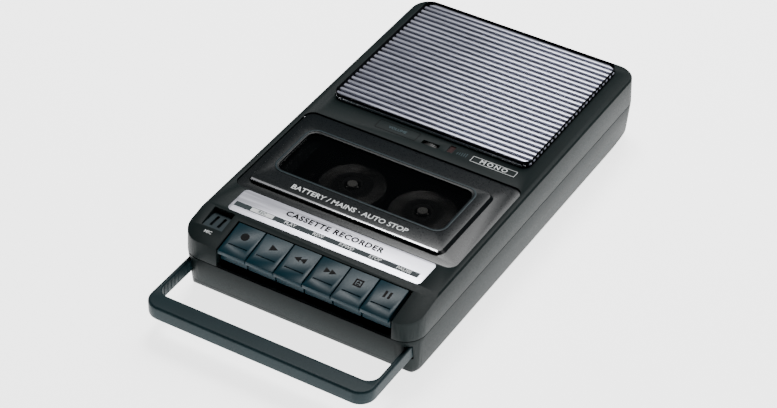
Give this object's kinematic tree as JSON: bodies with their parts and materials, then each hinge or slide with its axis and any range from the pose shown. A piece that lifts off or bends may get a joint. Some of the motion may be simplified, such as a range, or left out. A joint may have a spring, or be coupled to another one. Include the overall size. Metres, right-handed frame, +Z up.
{
  "type": "portable cassette recorder",
  "caption": "Flat portable cassette recorder with piano keys, hinged cassette lid, barred speaker grille and a slide-out carrying handle.",
  "frame": {"origin": "on the resting plane under the feet, midway along the length with the handle drawn out", "axes": "+X to the pause key's side, +Y from the keys to the speaker, +Z up"},
  "size_m": [0.14, 0.2834, 0.044],
  "materials": {
    "case": "fine matte texture, charcoal",
    "handle": "fine matte texture, charcoal",
    "keys": "satin blue-grey",
    "grille": "satin silver",
    "label": "brushed, clear coated",
    "mic_trim": "satin",
    "lid": "satin gloss",
    "window": "smoked clear plastic",
    "bright_trim": "bright satin",
    "lamp": "translucent red",
    "steel": "ground",
    "spring_steel": "bright plated",
    "plated_sheet": "zinc plated",
    "bronze": "sintered bronze",
    "flywheel_metal": "turned",
    "motor_can": "drawn can",
    "white_plastic": "smooth",
    "tape": "wound tape edge",
    "clear_shell": "smoky clear polystyrene",
    "belt_rubber": "matte",
    "head_metal": "polished",
    "cone_paper": "pressed paper",
    "magnet": "sintered ferrite",
    "transformer": "laminated, varnished",
    "black_moulding": "smooth",
    "board": "phenolic laminate",
    "components": "moulded"
  },
  "bodies": {
    "root": {"lower_shell": "case", "upper_shell": "case", "speaker_grille": "grille", "label_plate": "label", "microphone_cover": "mic_trim", "recording_lamp": "lamp", "key_pivot_rod": "steel", "pinch_pivot_post": "steel", "case_screws": "steel", "board_screws": "steel", "handle_click_springs": "spring_steel", "key_springs": "spring_steel", "battery_contacts": "spring_steel", "chassis_plate": "plated_sheet", "chassis_pillars": "plated_sheet", "flywheel_bracket": "plated_sheet", "speaker_frame": "plated_sheet", "microphone_capsule": "plated_sheet", "reel_bushes": "bronze", "capstan_bush": "bronze", "drive_motor": "motor_can", "tape_cassette": "clear_shell", "drive_belt": "belt_rubber", "takeup_belt": "belt_rubber", "rubber_feet": "belt_rubber", "speaker_cone": "cone_paper", "speaker_magnet": "magnet", "power_transformer": "transformer", "mains_inlet": "black_moulding", "audio_jacks": "black_moulding", "volume_control": "black_moulding", "circuit_board": "board", "board_components": "components"},
    "handle": {"carrying_handle": "handle"},
    "lid": {"cassette_lid": "lid", "lid_trim_strip": "bright_trim", "lid_window": "window", "lid_hinge_pins": "steel"},
    "supply_reel": {"supply_reel_table": "white_plastic", "supply_tape_hub": "white_plastic", "supply_tape_pack": "tape"},
    "takeup_reel": {"takeup_reel_table": "white_plastic", "takeup_tape_hub": "white_plastic", "takeup_tape_pack": "tape"},
    "capstan": {"flywheel": "flywheel_metal", "capstan_shaft": "steel"},
    "motor_rotor": {"motor_pulley": "white_plastic"},
    "head_slide": {"head_bridge": "plated_sheet", "record_play_head": "head_metal", "erase_head": "head_metal"},
    "pinch_swing_arm": {"pinch_arm": "steel"},
    "pinch_wheel": {"pinch_roller": "belt_rubber"},
    "volume_control_wheel": {"volume_wheel": "black_moulding"},
    "battery_door": {"battery_cover": "case"},
    "record_key": {"record_key": "keys"},
    "play_key": {"play_key": "keys"},
    "rewind_key": {"rewind_key": "keys"},
    "forward_key": {"forward_key": "keys"},
    "stop_key": {"stop_key": "keys"},
    "pause_key": {"pause_key": "keys"}
  },
  "joints": [
    {"name": "handle_slide", "type": "slide", "parent": "root", "child": "handle", "axis": [0, 1, 0], "range_m": [0, 0.0245]},
    {"name": "lid_hinge", "type": "hinge", "parent": "root", "child": "lid", "pos_m": [0, 0.01015, 0.0401], "axis": [-1, 0, 0], "range_deg": [0, 50]},
    {"name": "supply_reel_spin", "type": "hinge", "parent": "root", "child": "supply_reel", "pos_m": [-0.01675, -0.02015, 0.03], "axis": [0, 0, 1], "continuous": true},
    {"name": "takeup_reel_spin", "type": "hinge", "parent": "root", "child": "takeup_reel", "pos_m": [0.02575, -0.02015, 0.03], "axis": [0, 0, 1], "continuous": true},
    {"name": "capstan_spin", "type": "hinge", "parent": "root", "child": "capstan", "pos_m": [0.0281, -0.04915, 0.012], "axis": [0, 0, 1], "continuous": true},
    {"name": "motor_spin", "type": "hinge", "parent": "root", "child": "motor_rotor", "pos_m": [-0.038, 0.02915, 0.011], "axis": [0, 0, 1], "continuous": true},
    {"name": "head_advance", "type": "slide", "parent": "root", "child": "head_slide", "axis": [0, 1, 0], "range_m": [0, 0.003]},
    {"name": "pinch_swing", "type": "hinge", "parent": "root", "child": "pinch_swing_arm", "pos_m": [0.0436, -0.06145, 0.026], "axis": [0, 0, -1], "range_deg": [0, 7]},
    {"name": "pinch_roller_spin", "type": "hinge", "parent": "pinch_swing_arm", "child": "pinch_wheel", "pos_m": [0.0281, -0.05985, 0.033], "axis": [0, 0, 1], "continuous": true},
    {"name": "volume_turn", "type": "hinge", "parent": "root", "child": "volume_control_wheel", "pos_m": [0.0047, 0.02375, 0.0347], "axis": [0, 1, 0], "range_deg": [-140, 140]},
    {"name": "battery_door_hinge", "type": "hinge", "parent": "root", "child": "battery_door", "pos_m": [0, 0.05205, 0.003], "axis": [-1, 0, 0], "range_deg": [0, 95]},
    {"name": "record_key_press", "type": "hinge", "parent": "root", "child": "record_key", "pos_m": [0, -0.07075, 0.031], "axis": [1, 0, 0], "range_deg": [0, 6], "stiffness_Nm_per_rad": 0.2, "springref_deg": -5.73},
    {"name": "play_key_press", "type": "hinge", "parent": "root", "child": "play_key", "pos_m": [0, -0.07075, 0.031], "axis": [1, 0, 0], "range_deg": [0, 6], "stiffness_Nm_per_rad": 0.2, "springref_deg": -5.73},
    {"name": "rewind_key_press", "type": "hinge", "parent": "root", "child": "rewind_key", "pos_m": [0, -0.07075, 0.031], "axis": [1, 0, 0], "range_deg": [0, 6], "stiffness_Nm_per_rad": 0.2, "springref_deg": -5.73},
    {"name": "forward_key_press", "type": "hinge", "parent": "root", "child": "forward_key", "pos_m": [0, -0.07075, 0.031], "axis": [1, 0, 0], "range_deg": [0, 6], "stiffness_Nm_per_rad": 0.2, "springref_deg": -5.73},
    {"name": "stop_key_press", "type": "hinge", "parent": "root", "child": "stop_key", "pos_m": [0, -0.07075, 0.031], "axis": [1, 0, 0], "range_deg": [0, 6], "stiffness_Nm_per_rad": 0.2, "springref_deg": -5.73},
    {"name": "pause_key_press", "type": "hinge", "parent": "root", "child": "pause_key", "pos_m": [0, -0.07075, 0.031], "axis": [1, 0, 0], "range_deg": [0, 6], "stiffness_Nm_per_rad": 0.2, "springref_deg": -5.73}
  ],
  "couplings": [
    {"joint": "motor_spin", "follows": "capstan_spin", "ratio": 4.7},
    {"joint": "takeup_reel_spin", "follows": "capstan_spin", "ratio": 0.575},
    {"joint": "play_key_press", "follows": "head_advance", "rad_per_m": 34.9},
    {"joint": "pinch_swing", "follows": "head_advance", "rad_per_m": 40.2}
  ]
}
